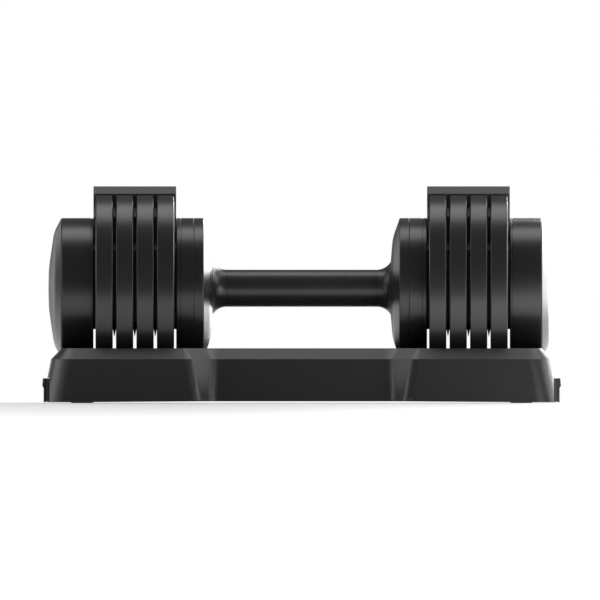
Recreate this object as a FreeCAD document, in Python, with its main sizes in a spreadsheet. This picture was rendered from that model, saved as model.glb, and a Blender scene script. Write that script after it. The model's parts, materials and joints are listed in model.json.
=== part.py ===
import FreeCAD, Part
import math
import operator
import os
import Sketcher

# Adjustable dumbbell in its storage tray.
# Frame: +X along the handle, +Z up, origin under the middle of the tray, millimetres.
# Pieces of the dumbbell are drawn about the handle axis and then lifted to axis_height.

SIZES = {
    # plates and the rods that carry them
    "plate_count": 4.0,
    "plate_thickness": 12.7,
    "plate_gap": 2.3,
    "plate_radius": 71.0,
    "plate_bevel": 0.7,
    "rod_radius": 7.5,
    "rod_chamfer": 1.2,
    "rod_rest": 1.0,
    "rod_bite": 0.4,
    "pin_radius": 1.25,
    "pin_inset": 5.0,
    "pin_edge": 3.0,
    "cam_gap": 0.15,
    # clearances
    "slide_gap": 0.3,
    "fit_gap": 0.05,
    "keel_gap": 0.5,
    # bridge over the plates and the dividers between them
    "wall_thickness": 1.5,
    "bridge_over": 3.8,
    "bridge_rise": 5.5,
    "cap_overhang": 1.1,
    "keel_half": 17.5,
    "keel_depth": 8.0,
    "tab_half": 8.0,
    "tab_rise": 5.0,
    "step_high_drop": 1.3,
    "step_high_half": 25.0,
    "step_low": 33.0,
    "step_low_half": 30.0,
    "divider_reach": 36.0,
    "divider_corner": 12.0,
    "divider_lead": 6.0,
    # round housings
    "drum_radius": 51.5,
    "shell_wall": 3.0,
    "housing_width": 13.0,
    "cover_crease_run": 1.5,
    "cover_crease_inset": 14.5,
    "cover_skirt": 7.1,
    "cone_wall": 2.2,
    "joint_line": 0.5,
    "drum_width": 23.5,
    "cap_crease": 5.4,
    "cap_crease_inset": 10.5,
    "cap_flat": 9.2,
    "cap_flat_radius": 15.4,
    "cap_crown": 9.5,
    "lip_length": 2.5,
    # handle, from the rod outward
    "core_wall": 2.0,
    "sleeve_wall": 2.5,
    "grip_wall": 1.6,
    "flare_rise": 5.4,
    "flare_run": 10.0,
    "flare_rim": 4.0,
    "cam_turn": 240.0,
    "cam_overrun": 9.0,
    # lock
    "wheel_radius": 30.0,
    "wheel_thickness": 5.0,
    "wheel_groove_depth": 2.7,
    "groove_inner": 16.5,
    "groove_outer": 23.5,
    "slot_width": 4.8,
    "bar_width": 4.0,
    "bar_thickness": 3.6,
    "bar_top": 18.0,
    "tooth_height": 4.0,
    "lug_length": 9.0,
    "lug_height": 3.0,
    "lug_drop": 36.0,
    "spring_gap": 5.6,
    "spring_radius": 2.6,
    "wire_radius": 0.4,
    "ball_radius": 2.5,
    "ball_orbit": 26.5,
    "ball_bite": 0.8,
    # hub and ballast
    "hub_length": 10.8,
    "hub_plate": 5.0,
    "hub_inset": 8.5,
    "hub_boss_wall": 5.5,
    "ballast_inset": 2.5,
    "ballast_thickness": 14.0,
    "screw_radius": 2.0,
    "screw_head_radius": 3.4,
    "screw_head_height": 1.0,
    "screw_length": 7.0,
    "recess_length": 4.0,
    "recess_width": 0.8,
    "bridge_screw_inset": 9.5,
    "bridge_screw_high_half": 18.0,
    "bridge_screw_low": 14.0,
    "bridge_screw_low_half": 22.0,
    "ballast_stand": 4.0,
    "ballast_screw_circle": 11.0,
    # tray
    "tray_reach": 4.3,
    "tray_beside": 15.0,
    "waist_step": 16.0,
    "waist_foot_out": 1.7,
    "waist_rim_in": 1.2,
    "shoulder_foot_out": 10.6,
    "shoulder_rim_out": 18.0,
    "corner_round": 18.0,
    "foot_round": 10.0,
    "shoulder_round": 12.0,
    "opening_round": 4.0,
    "cradle_floor": 13.0,
    "rim_over_deck": 8.0,
    "tray_lift": 0.4,
    "tray_draft": 6.2,
    "tray_chamfer": 8.0,
    "tray_wall": 3.0,
    "rim_land": 2.5,
    "arch_inset": 25.0,
    "arch_rise": 0.8,
    "clip_room": 5.0,
    "clip_height": 18.0,
    "clip_half_width": 55.0,
    "clip_leg": 1.4,
    "clip_depth": 4.3,
    "clip_barb": 1.0,
    "clip_barb_foot": 11.0,
    "deck_gap": 0.5,
    "centre_out": 2.0,
    "dish_depth": 2.0,
    "dish_margin": 12.0,
    "pan_bottom": 2.0,
    "pan_thickness": 3.0,
    "foot_radius": 8.0,
    "foot_stem": 3.0,
    "foot_inset_long": 24.0,
    "foot_inset_deep": 12.0,
    "pan_screw_near": 23.0,
    "pan_screw_far": 40.0,
    "pan_screw_half": 30.0,
    "saddle_width": 4.0,
    "saddle_half": 26.0,
    "saddle_rise": 6.5,
    "side_pocket": 52.0,
    "boss_radius": 6.0,
}

DOC = FreeCAD.newDocument("adjustable_dumbbell")
SHEET = DOC.addObject("Spreadsheet::Sheet", "sizes")
SIDES = {"right": 0.0, "left": 180.0}
ORIGIN = FreeCAD.Vector(0, 0, 0)
ALONG = FreeCAD.Vector(1, 0, 0)
ACROSS = FreeCAD.Vector(0, 1, 0)
UPWARD = FreeCAD.Vector(0, 0, 1)
BEYOND = 1.0  # how far a cut runs past the surface that it opens
WHEEL_STEPS = 6
BALLAST_SCREWS = 3
COIL_TURNS = 3


class Size:
    """A length with its number and the formula that the document keeps for it."""

    def __init__(self, value, text):
        self.value = value
        self.text = text

    def __add__(self, other):
        return worked(self, "+", other)

    def __radd__(self, other):
        return worked(other, "+", self)

    def __sub__(self, other):
        return worked(self, "-", other)

    def __rsub__(self, other):
        return worked(other, "-", self)

    def __mul__(self, other):
        return worked(self, "*", other)

    def __rmul__(self, other):
        return worked(other, "*", self)

    def __truediv__(self, other):
        return worked(self, "/", other)

    def __neg__(self):
        return worked(0, "-", self)


OPERATIONS = {"+": operator.add, "-": operator.sub, "*": operator.mul, "/": operator.truediv}


def size(given):
    """A plain number as a Size; a Size as it is."""
    if isinstance(given, Size):
        return given
    return Size(float(given), f"({float(given)})")


def worked(left, sign, right):
    """The result of one operation on two lengths, as number and as formula."""
    left, right = size(left), size(right)
    return Size(OPERATIONS[sign](left.value, right.value), f"({left.text} {sign} {right.text})")


def root(given):
    """The square root of a Size."""
    return Size(math.sqrt(given.value), f"sqrt({given.text})")


def write_sheet():
    """Fill the sheet with the driving dimensions and give each its alias."""
    for row, (alias, value) in enumerate(SIZES.items(), start=1):
        SHEET.set(f"A{row}", alias)
        SHEET.set(f"B{row}", str(value))
        SHEET.setAlias(f"B{row}", alias)
    DOC.recompute()


class Named:
    """The driving dimensions by name."""

    def __getattr__(self, alias):
        return Size(SIZES[alias], f"sizes.{alias}")


S = Named()


def new_body(name):
    """An empty PartDesign body whose label names its file."""
    body = DOC.addObject("PartDesign::Body", name)
    body.Label = name
    return body


def sketch_on(body, plane, start):
    """A sketch on one of the body's origin planes, moved along that plane's normal by start."""
    sketch = body.newObject("Sketcher::SketchObject", body.Label + "_sketch")
    support = [item for item in body.Origin.OriginFeatures if item.Role == plane]
    sketch.AttachmentSupport = [(support[0], "")]
    sketch.MapMode = "FlatFace"
    sketch.setExpression("AttachmentOffset.Base.z", size(start).text)
    return sketch


def bind(sketch, kind, geometry, spot, length):
    """Add one dimension to the sketch and tie it to its formula."""
    length = size(length)
    if kind == "Radius":
        rule = Sketcher.Constraint(kind, geometry, length.value)
    else:
        rule = Sketcher.Constraint(kind, geometry, spot, length.value)
    number = sketch.addConstraint(rule)
    sketch.setExpression(f"Constraints[{number}]", length.text)


def arc_between(here, there, radius):
    """An arc from here to there; it bulges to the right of the way for a positive radius."""
    middle = (here + there) * 0.5
    half = (there - here) * 0.5
    rise = math.sqrt(max(radius * radius - half.Length * half.Length, 0.0))
    aside = FreeCAD.Vector(-half.y, half.x, 0)
    aside.normalize()
    turn = 1.0 if radius > 0 else -1.0
    centre = middle + aside * rise * turn
    first = math.atan2(here.y - centre.y, here.x - centre.x)
    last = math.atan2(there.y - centre.y, there.x - centre.x)
    circle = Part.Circle(centre, UPWARD, abs(radius))
    if turn > 0:
        return Part.ArcOfCircle(circle, first, last)
    return Part.ArcOfCircle(circle, last, first)


def outline(corners, arcs=None):
    """A drawing of one closed loop; arcs gives the radius of each side that is round."""
    arcs = arcs or {}

    def draw(sketch):
        spots = [FreeCAD.Vector(size(a).value, size(b).value, 0) for a, b in corners]
        first = sketch.GeometryCount
        ends = []
        for index, here in enumerate(spots):
            there = spots[(index + 1) % len(spots)]
            if index in arcs:
                sketch.addGeometry(arc_between(here, there, size(arcs[index]).value))
                ends.append((1, 2) if size(arcs[index]).value > 0 else (2, 1))
            else:
                sketch.addGeometry(Part.LineSegment(here, there))
                ends.append((1, 2))
        for index, (across, up) in enumerate(corners):
            before = (index - 1) % len(corners)
            last = (first + before, ends[before][1])
            next_one = (first + index, ends[index][0])
            sketch.addConstraint(Sketcher.Constraint("Coincident", *last, *next_one))
            bind(sketch, "DistanceX", *next_one, across)
            bind(sketch, "DistanceY", *next_one, up)
        for index, radius in arcs.items():
            radius = size(radius)
            bind(sketch, "Radius", first + index, 0, radius if radius.value > 0 else -radius)

    return draw


def circle(across, up, radius):
    """A drawing of one circle."""

    def draw(sketch):
        spot = FreeCAD.Vector(size(across).value, size(up).value, 0)
        number = sketch.addGeometry(Part.Circle(spot, UPWARD, size(radius).value))
        bind(sketch, "DistanceX", number, 3, across)
        bind(sketch, "DistanceY", number, 3, up)
        bind(sketch, "Radius", number, 0, radius)

    return draw


def block(low_across, low_up, high_across, high_up):
    """A drawing of one rectangle."""
    return outline(
        [(low_across, low_up), (high_across, low_up), (high_across, high_up), (low_across, high_up)]
    )


def drawn(body, plane, start, drawings):
    """A sketch that holds each of the drawings."""
    sketch = sketch_on(body, plane, start)
    for draw in drawings:
        draw(sketch)
    return sketch


def grow(body, plane, start, length, *drawings, both=False):
    """Pad the drawings along the plane's normal, from start, or to both sides of it."""
    pad = body.newObject("PartDesign::Pad", body.Label + "_pad")
    pad.Profile = drawn(body, plane, start, drawings)
    pad.setExpression("Length", size(length).text)
    pad.Midplane = both
    DOC.recompute()
    return pad


def cut(body, plane, start, length, *drawings, both=False):
    """Pocket the drawings along the plane's normal, from start, or to both sides of it."""
    before = body.Shape.Volume
    pocket = body.newObject("PartDesign::Pocket", body.Label + "_pocket")
    pocket.Profile = drawn(body, plane, start, drawings)
    pocket.setExpression("Length", size(length).text)
    pocket.Reversed = not both
    pocket.Midplane = both
    DOC.recompute()
    if not body.Shape.Volume < before:
        raise RuntimeError(f"a pocket of {body.Label} cuts nothing")
    return pocket


def turn(body, *drawings):
    """Revolve the drawings about the X axis; a drawing is across along X and up from the axis."""
    spun = body.newObject("PartDesign::Revolution", body.Label + "_turned")
    spun.Profile = drawn(body, "XZ_Plane", 0, drawings)
    spun.ReferenceAxis = (spun.Profile[0], ["H_Axis"])
    spun.Angle = 360
    DOC.recompute()
    return spun


def groove(body, *drawings):
    """Cut the drawings, revolved about the X axis."""
    before = body.Shape.Volume
    spun = body.newObject("PartDesign::Groove", body.Label + "_groove")
    spun.Profile = drawn(body, "XZ_Plane", 0, drawings)
    spun.ReferenceAxis = (spun.Profile[0], ["H_Axis"])
    spun.Angle = 360
    DOC.recompute()
    if not body.Shape.Volume < before:
        raise RuntimeError(f"a groove of {body.Label} cuts nothing")
    return spun


def repeat_around(body, features, count):
    """Repeat the features evenly about the X axis."""
    pattern = body.newObject("PartDesign::PolarPattern", body.Label + "_pattern")
    pattern.Originals = features
    axis = [item for item in body.Origin.OriginFeatures if item.Role == "X_Axis"]
    pattern.Axis = (axis[0], [""])
    pattern.Angle = 360
    pattern.Occurrences = count
    body.Tip = pattern
    DOC.recompute()


def lift_to_axis(item, heading, roll=0.0):
    """Place a piece drawn about the handle axis; heading turns it to its end of the dumbbell."""
    spin = FreeCAD.Rotation(ALONG, roll) * FreeCAD.Rotation(UPWARD, heading)
    item.Placement = FreeCAD.Placement(ORIGIN, spin)
    item.setExpression("Placement.Base.z", AXIS_HEIGHT.text)


def mirror_points(half):
    """A loop drawn on one side of the vertical axis, closed by its mirror image."""
    return half + [(-size(across), up) for across, up in reversed(half)]


# ---------------------------------------------------------------- places that several pieces share

CORE_RADIUS = S.rod_radius + S.core_wall
SLEEVE_RADIUS = CORE_RADIUS + S.sleeve_wall
GRIP_RADIUS = SLEEVE_RADIUS + S.grip_wall
FLARE_RADIUS = GRIP_RADIUS + S.flare_rise
BORE_RADIUS = S.rod_radius + S.keel_gap
BOSS_RADIUS = CORE_RADIUS + S.hub_boss_wall
LIP_CLEAR = S.drum_radius - S.shell_wall - S.fit_gap

# outward from the middle of the handle: each rod needs room in its half for its whole travel
PLATE_PITCH = S.plate_thickness + S.plate_gap
ROD_TRAVEL = PLATE_PITCH * S.plate_count
ROD_REAR = ROD_TRAVEL + S.rod_rest
PIN_PLACE = ROD_REAR + S.pin_inset
PIN_HOME = PIN_PLACE - ROD_TRAVEL
SLEEVE_END = PIN_PLACE + S.pin_edge
FLARE_END = SLEEVE_END - S.flare_rim
GRIP_HALF = FLARE_END - S.flare_run
WHEEL_START = SLEEVE_END
WHEEL_END = WHEEL_START + S.wheel_thickness
BAR_START = WHEEL_END + S.slide_gap
BAR_END = BAR_START + S.bar_thickness
HUB_START = BAR_END + S.slide_gap
HOUSING_END = HUB_START + S.hub_length + S.shell_wall
HOUSING_START = HOUSING_END - S.housing_width
HUB_PLATE_START = HOUSING_END - S.shell_wall - S.hub_plate
PLATE_START = HOUSING_END + S.wall_thickness
STACK_END = PLATE_START + PLATE_PITCH * S.plate_count - S.plate_gap
DRUM_START = STACK_END + S.wall_thickness
DRUM_END = DRUM_START + S.drum_width
ROD_TIP = DRUM_START + S.rod_bite
BALLAST_START = DRUM_START + S.shell_wall + S.ballast_stand
TRAY_LENGTH = DRUM_END + S.cap_crown + S.tray_reach
TRAY_DEPTH = S.plate_radius + S.tray_beside
CLIP_PLANE = TRAY_LENGTH - S.clip_room
CENTRE_HALF = FLARE_END + S.centre_out

# upward and downward from the handle's axis
BRIDGE_TOP = S.plate_radius + S.bridge_over
BRIDGE_BOTTOM = BRIDGE_TOP - S.bridge_rise
KEEL_BOTTOM = BRIDGE_BOTTOM - S.keel_depth
STEP_HIGH = KEEL_BOTTOM - S.step_high_drop
LOCK_SPRING_SEAT = S.lug_drop - S.spring_gap

# upward from the floor: the plates stand above the pan, and the deck lies just under the drums
AXIS_HEIGHT = S.cradle_floor + S.plate_radius
DECK_HEIGHT = AXIS_HEIGHT - S.drum_radius - S.deck_gap
TRAY_HEIGHT = DECK_HEIGHT + S.rim_over_deck
PAN_TOP = S.pan_bottom + S.pan_thickness
DRILL_END = S.pan_bottom + S.screw_head_height + S.screw_length


def divider_outline():
    """The stepped shape shared by the dividers and the bridge's end walls, below the keel."""
    high_step = S.step_high_half - S.keel_half
    low_step = S.step_low_half - S.step_high_half
    return mirror_points(
        [
            (S.keel_half, KEEL_BOTTOM),
            (S.keel_half, STEP_HIGH),
            (S.step_high_half, STEP_HIGH - high_step),
            (S.step_high_half, S.step_low),
            (S.step_low_half, S.step_low - low_step),
            (S.step_low_half, S.divider_corner - S.divider_reach),
            (S.step_low_half - S.divider_corner, -S.divider_reach),
        ]
    )


HUB_SPOTS = [
    (-S.bridge_screw_low_half, -S.bridge_screw_low),
    (S.bridge_screw_low_half, -S.bridge_screw_low),
]
SCREW_SPOTS = HUB_SPOTS + [
    (-S.bridge_screw_high_half, S.drum_radius - S.bridge_screw_inset),
    (S.bridge_screw_high_half, S.drum_radius - S.bridge_screw_inset),
]
PAN_SPOTS = [
    (CENTRE_HALF + S.pan_screw_near, S.pan_screw_half),
    (CENTRE_HALF + S.pan_screw_near, -S.pan_screw_half),
    (TRAY_LENGTH - S.pan_screw_far, S.pan_screw_half),
    (TRAY_LENGTH - S.pan_screw_far, -S.pan_screw_half),
]


# ---------------------------------------------------------------- weight plates


def weight_plate(name, heading, number):
    """A round plate with a bevelled rim, a top notch, a bore and a channel for the dividers."""
    body = new_body(name)
    start = PLATE_START + PLATE_PITCH * number
    end = start + S.plate_thickness
    turn(
        body,
        outline(
            [
                (start, BORE_RADIUS),
                (end, BORE_RADIUS),
                (end, S.plate_radius - S.plate_bevel),
                (end - S.plate_bevel, S.plate_radius),
                (start + S.plate_bevel, S.plate_radius),
                (start, S.plate_radius - S.plate_bevel),
            ]
        ),
    )
    notch = S.keel_half + S.keel_gap
    floor = KEEL_BOTTOM - S.keel_gap
    rim = S.plate_radius + BEYOND
    cut(body, "YZ_Plane", start, S.plate_thickness, block(-notch, floor, notch, rim))
    channel = S.step_low_half + S.keel_gap
    foot = -S.divider_reach - BEYOND
    shape = block(-channel, foot, channel, rim)
    cut(body, "YZ_Plane", start, S.slide_gap, shape)
    cut(body, "YZ_Plane", end - S.slide_gap, S.slide_gap, shape)
    lift_to_axis(body, heading)


# ---------------------------------------------------------------- bridge and dividers


def carrier_bridge(name, heading):
    """The bridge over one stack of plates, with an end wall at each end and its divider sockets."""
    body = new_body(name)
    length = DRUM_START - HOUSING_END
    cap_half = S.keel_half + S.cap_overhang
    wall_half = S.step_low_half + BEYOND
    wall_foot = S.divider_lead - S.divider_reach
    grow(
        body,
        "YZ_Plane",
        HOUSING_END,
        length,
        outline(
            mirror_points(
                [
                    (cap_half - S.bridge_rise, BRIDGE_TOP),
                    (cap_half, BRIDGE_BOTTOM),
                    (S.keel_half, BRIDGE_BOTTOM),
                    (S.keel_half, KEEL_BOTTOM),
                ]
            )
        ),
    )
    for wall in (HOUSING_END, STACK_END):
        grow(body, "YZ_Plane", wall, S.wall_thickness, outline(divider_outline()))
        cut(body, "YZ_Plane", wall, S.wall_thickness, circle(0, 0, BORE_RADIUS))
        below = block(-wall_half, wall_foot - S.divider_lead - BEYOND, wall_half, wall_foot)
        cut(body, "YZ_Plane", wall, S.wall_thickness, below)
        spots = [circle(across, up, S.screw_radius) for across, up in SCREW_SPOTS]
        cut(body, "YZ_Plane", wall, S.wall_thickness, *spots)
    heads = [circle(across, up, S.screw_head_radius) for across, up in SCREW_SPOTS]
    for face in (PLATE_START - S.screw_head_height, STACK_END):
        cut(body, "YZ_Plane", face, S.screw_head_height, *heads)
    for number in range(int(SIZES["plate_count"]) - 1):
        gap_start = PLATE_START + PLATE_PITCH * number + S.plate_thickness
        socket = block(-S.tab_half, KEEL_BOTTOM - BEYOND, S.tab_half, KEEL_BOTTOM + S.tab_rise)
        cut(body, "YZ_Plane", gap_start, S.plate_gap, socket)
    lift_to_axis(body, heading)


def divider(name, heading, number):
    """A flat divider that hangs from the bridge between two plates, with a wedge-shaped foot."""
    body = new_body(name)
    start = PLATE_START + PLATE_PITCH * number + S.plate_thickness
    grow(body, "YZ_Plane", start, S.plate_gap, outline(divider_outline()))
    tab = block(-S.tab_half, STEP_HIGH, S.tab_half, KEEL_BOTTOM + S.tab_rise)
    grow(body, "YZ_Plane", start, S.plate_gap, tab)
    cut(body, "YZ_Plane", start, S.plate_gap, circle(0, 0, BORE_RADIUS))
    foot = -S.divider_reach
    lead = foot + S.divider_lead
    middle = start + S.plate_gap / 2
    end = start + S.plate_gap
    for edge, outside in ((start, start - BEYOND), (end, end + BEYOND)):
        wedge = outline([(middle, foot), (edge, lead), (outside, lead), (outside, foot)])
        cut(body, "XZ_Plane", 0, (S.step_low_half + BEYOND) * 2, wedge, both=True)
    lift_to_axis(body, heading)


# ---------------------------------------------------------------- round housings


def lip_ring(start, end, outer):
    """A thin locating lip inside a round shell."""
    inner = outer - S.shell_wall / 2
    return outline([(start, inner), (end, inner), (end, outer), (start, outer)])


def inner_cover(name, heading):
    """The shallow cone beside the hand, with its skirt and a slot for the lock bar."""
    body = new_body(name)
    wall = S.shell_wall
    nose = FLARE_END + S.slide_gap
    hole = FLARE_RADIUS + S.keel_gap
    crease = nose + S.cover_crease_run
    crease_radius = S.drum_radius - S.cover_crease_inset
    shoulder = HOUSING_START - S.cover_skirt
    turn(
        body,
        outline(
            [
                (nose, hole),
                (crease, crease_radius),
                (shoulder, S.drum_radius),
                (HOUSING_START - S.joint_line, S.drum_radius),
                (HOUSING_START, S.drum_radius - S.joint_line),
                (HOUSING_START, S.drum_radius - wall),
                (shoulder + S.cone_wall, S.drum_radius - wall),
                (crease + S.cone_wall, crease_radius - S.cone_wall / 4),
                (nose + S.cone_wall, hole),
            ]
        ),
    )
    turn(body, lip_ring(HOUSING_START - S.lip_length * 2, HOUSING_START + S.lip_length, LIP_CLEAR))
    slot_half = S.bar_width / 2 + S.slide_gap
    slot = block(BAR_START - S.slide_gap, -slot_half, BAR_END + S.slide_gap, slot_half)
    cut(body, "XY_Plane", -S.drum_radius - BEYOND, S.shell_wall * 2 + BEYOND, slot)
    lift_to_axis(body, heading)


def inner_housing(name, heading):
    """The round cup that holds the hub and carries the bridge's inner end wall."""
    body = new_body(name)
    wall = S.shell_wall
    turn(
        body,
        outline(
            [
                (HOUSING_START, S.drum_radius - S.joint_line),
                (HOUSING_START + S.joint_line, S.drum_radius),
                (HOUSING_END - S.joint_line, S.drum_radius),
                (HOUSING_END, S.drum_radius - S.joint_line),
                (HOUSING_END, CORE_RADIUS),
                (HOUSING_END - wall, CORE_RADIUS),
                (HOUSING_END - wall, S.drum_radius - wall),
                (HOUSING_START, S.drum_radius - wall),
            ]
        ),
    )
    line = HOUSING_END - wall - S.joint_line
    groove(body, block(line, S.drum_radius - S.joint_line, line + S.joint_line, S.drum_radius + BEYOND))
    spots = [circle(across, up, S.screw_radius) for across, up in SCREW_SPOTS]
    cut(body, "YZ_Plane", HOUSING_END - wall, wall, *spots)
    lift_to_axis(body, heading)


def hub(name, heading):
    """The steel hub that ties the core tube to its housing, with the ball's pocket and a spring seat."""
    body = new_body(name)
    end = HOUSING_END - S.shell_wall
    radius = S.drum_radius - S.shell_wall - S.hub_inset
    turn(
        body,
        outline(
            [
                (HUB_START, CORE_RADIUS),
                (end, CORE_RADIUS),
                (end, radius),
                (HUB_PLATE_START, radius),
                (HUB_PLATE_START, BOSS_RADIUS),
                (HUB_START, BOSS_RADIUS),
            ]
        ),
    )
    post = S.ball_radius * 2
    tower = WHEEL_END + S.ball_radius
    grow(body, "YZ_Plane", tower, HUB_PLATE_START - tower, circle(S.ball_orbit, 0, post))
    pocket = S.ball_radius + S.fit_gap
    cut(body, "YZ_Plane", tower, HUB_PLATE_START - tower, circle(S.ball_orbit, 0, pocket))
    near = S.bar_width / 2 + S.slide_gap
    seat = LOCK_SPRING_SEAT
    shelf = block(near, -seat, near + S.lug_length, S.lug_height - seat)
    grow(body, "YZ_Plane", BAR_START, HUB_PLATE_START - BAR_START, shelf)
    spots = [circle(across, up, S.screw_radius) for across, up in HUB_SPOTS]
    cut(body, "YZ_Plane", HUB_PLATE_START, S.hub_plate, *spots)
    lift_to_axis(body, heading)


def outer_drum(name, heading):
    """The round drum outside the plates, closed towards them by a wall with the rod's socket."""
    body = new_body(name)
    wall = S.shell_wall
    turn(
        body,
        outline(
            [
                (DRUM_START, BORE_RADIUS),
                (DRUM_START, S.drum_radius - S.joint_line),
                (DRUM_START + S.joint_line, S.drum_radius),
                (DRUM_END - S.joint_line, S.drum_radius),
                (DRUM_END, S.drum_radius - S.joint_line),
                (DRUM_END, S.drum_radius - wall),
                (DRUM_START + wall, S.drum_radius - wall),
                (DRUM_START + wall, BORE_RADIUS),
            ]
        ),
    )
    line = DRUM_START + wall / 2
    groove(body, block(line, S.drum_radius - S.joint_line, line + S.joint_line, S.drum_radius + BEYOND))
    spots = [circle(across, up, S.screw_radius) for across, up in SCREW_SPOTS]
    cut(body, "YZ_Plane", DRUM_START, wall, *spots)
    blind = [circle(across, up, S.screw_radius) for across, up in ballast_spots()]
    cut(body, "YZ_Plane", DRUM_START + wall / 2, wall / 2, *blind)
    lift_to_axis(body, heading)


def end_cap(name, heading):
    """The domed cap that closes a drum, with a conical edge and a locating lip."""
    body = new_body(name)
    wall = S.shell_wall
    crease = DRUM_END + S.cap_crease
    flat = DRUM_END + S.cap_flat
    crown = DRUM_END + S.cap_crown
    crease_radius = S.drum_radius - S.cap_crease_inset
    turn(
        body,
        outline(
            [
                (crown - wall, 0),
                (crown, 0),
                (flat, S.cap_flat_radius),
                (crease, crease_radius),
                (DRUM_END + S.joint_line / 2, S.drum_radius - S.joint_line / 2),
                (DRUM_END, S.drum_radius - S.joint_line),
                (DRUM_END, S.drum_radius - wall * 2),
                (crease - wall, crease_radius - wall / 2),
            ]
        ),
    )
    turn(body, lip_ring(DRUM_END - S.lip_length, DRUM_END + BEYOND, LIP_CLEAR))
    lift_to_axis(body, heading)


def ballast(name, heading):
    """The steel disc that gives the empty handle its weight; its boss stands on the drum's wall."""
    body = new_body(name)
    foot = DRUM_START + S.shell_wall
    radius = S.drum_radius - S.shell_wall - S.ballast_inset
    grow(body, "YZ_Plane", BALLAST_START, S.ballast_thickness, circle(0, 0, radius))
    grow(body, "YZ_Plane", foot, S.ballast_stand, circle(0, 0, BOSS_RADIUS))
    end = S.ballast_stand + S.ballast_thickness
    spots = [circle(across, up, S.screw_radius) for across, up in ballast_spots()]
    cut(body, "YZ_Plane", foot, end, *spots)
    lift_to_axis(body, heading)


def ballast_spots():
    """The screws' places on a circle round the axis."""
    angles = [math.tau * number / BALLAST_SCREWS for number in range(BALLAST_SCREWS)]
    ring = S.ballast_screw_circle
    return [(ring * math.sin(angle), ring * math.cos(angle)) for angle in angles]


# ---------------------------------------------------------------- handle


def core_tube(name):
    """The fixed tube through the handle, slotted along its top for the two follower pins."""
    body = new_body(name)
    bore = S.rod_radius + S.fit_gap
    turn(body, block(-HOUSING_END, bore, HOUSING_END, CORE_RADIUS))
    half = S.pin_radius + S.fit_gap
    near = PIN_HOME - half
    far = PIN_PLACE + half
    slots = [block(near, -half, far, half), block(-far, -half, -near, half)]
    cut(body, "XY_Plane", 0, CORE_RADIUS + BEYOND, *slots)
    lift_to_axis(body, 0.0)


def grip_sleeve(name):
    """The hand grip, a tube pressed over the two cam sleeves."""
    body = new_body(name)
    end = GRIP_HALF
    edge = S.joint_line
    turn(
        body,
        outline(
            [
                (-end, SLEEVE_RADIUS),
                (end, SLEEVE_RADIUS),
                (end, GRIP_RADIUS - edge),
                (end - edge, GRIP_RADIUS),
                (edge - end, GRIP_RADIUS),
                (-end, GRIP_RADIUS - edge),
            ]
        ),
    )
    lift_to_axis(body, 0.0)


def handle_flare(name, heading):
    """The flared collar at the end of the grip, which turns with it."""
    body = new_body(name)
    run = FLARE_END - GRIP_HALF
    rise = FLARE_RADIUS - GRIP_RADIUS
    sweep = (run * run + rise * rise) / (rise * 2)
    turn(
        body,
        outline(
            [
                (GRIP_HALF, SLEEVE_RADIUS),
                (SLEEVE_END, SLEEVE_RADIUS),
                (SLEEVE_END, FLARE_RADIUS),
                (FLARE_END, FLARE_RADIUS),
                (GRIP_HALF, GRIP_RADIUS),
            ],
            arcs={3: -sweep},
        ),
    )
    lift_to_axis(body, heading)


def cam_sleeve(name, heading):
    """Half of the sleeve that turns on the core tube; its helical slot drives one rod."""
    body = new_body(name)
    bore = CORE_RADIUS + S.fit_gap
    turn(body, block(0, bore, SLEEVE_END, SLEEVE_RADIUS))
    lead = ROD_TRAVEL * 360 / S.cam_turn
    slope = lead / (CORE_RADIUS * 2 * math.pi)
    half = (S.pin_radius + S.cam_gap) * root(slope * slope + 1)
    overrun = ROD_TRAVEL * S.cam_overrun / S.cam_turn
    start = PIN_HOME - overrun
    before = body.Shape.Volume
    helix = body.newObject("PartDesign::SubtractiveHelix", name + "_slot")
    profile = block(start - half, bore - BEYOND, start + half, SLEEVE_RADIUS + BEYOND)
    helix.Profile = drawn(body, "XZ_Plane", 0, [profile])
    helix.ReferenceAxis = (helix.Profile[0], ["H_Axis"])
    helix.Mode = "pitch-height-angle"
    helix.setExpression("Pitch", lead.text)
    helix.setExpression("Height", (ROD_TRAVEL + overrun * 2).text)
    helix.LeftHanded = heading > 0
    DOC.recompute()
    if not body.Shape.Volume < before:
        raise RuntimeError(f"the slot of {name} cuts nothing")
    lift_to_axis(body, heading, roll=-SIZES["cam_turn"] - SIZES["cam_overrun"])


def selector_rod(name, heading):
    """The steel rod that slides out through the plates' bores."""
    body = new_body(name)
    nose = S.rod_radius - S.rod_chamfer
    turn(
        body,
        outline(
            [
                (ROD_REAR, 0),
                (ROD_TIP, 0),
                (ROD_TIP, nose),
                (ROD_TIP - S.rod_chamfer, S.rod_radius),
                (ROD_REAR, S.rod_radius),
            ]
        ),
    )
    cut(body, "XY_Plane", 0, S.rod_radius + BEYOND, circle(PIN_PLACE, 0, S.pin_radius))
    lift_to_axis(body, heading)


def follower_pin(name, heading):
    """The pin that stands on the rod and rides in the cam sleeve's slot."""
    body = new_body(name)
    grow(body, "XY_Plane", 0, SLEEVE_RADIUS - S.slide_gap, circle(PIN_PLACE, 0, S.pin_radius))
    lift_to_axis(body, heading)


# ---------------------------------------------------------------- lock and detent


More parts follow.
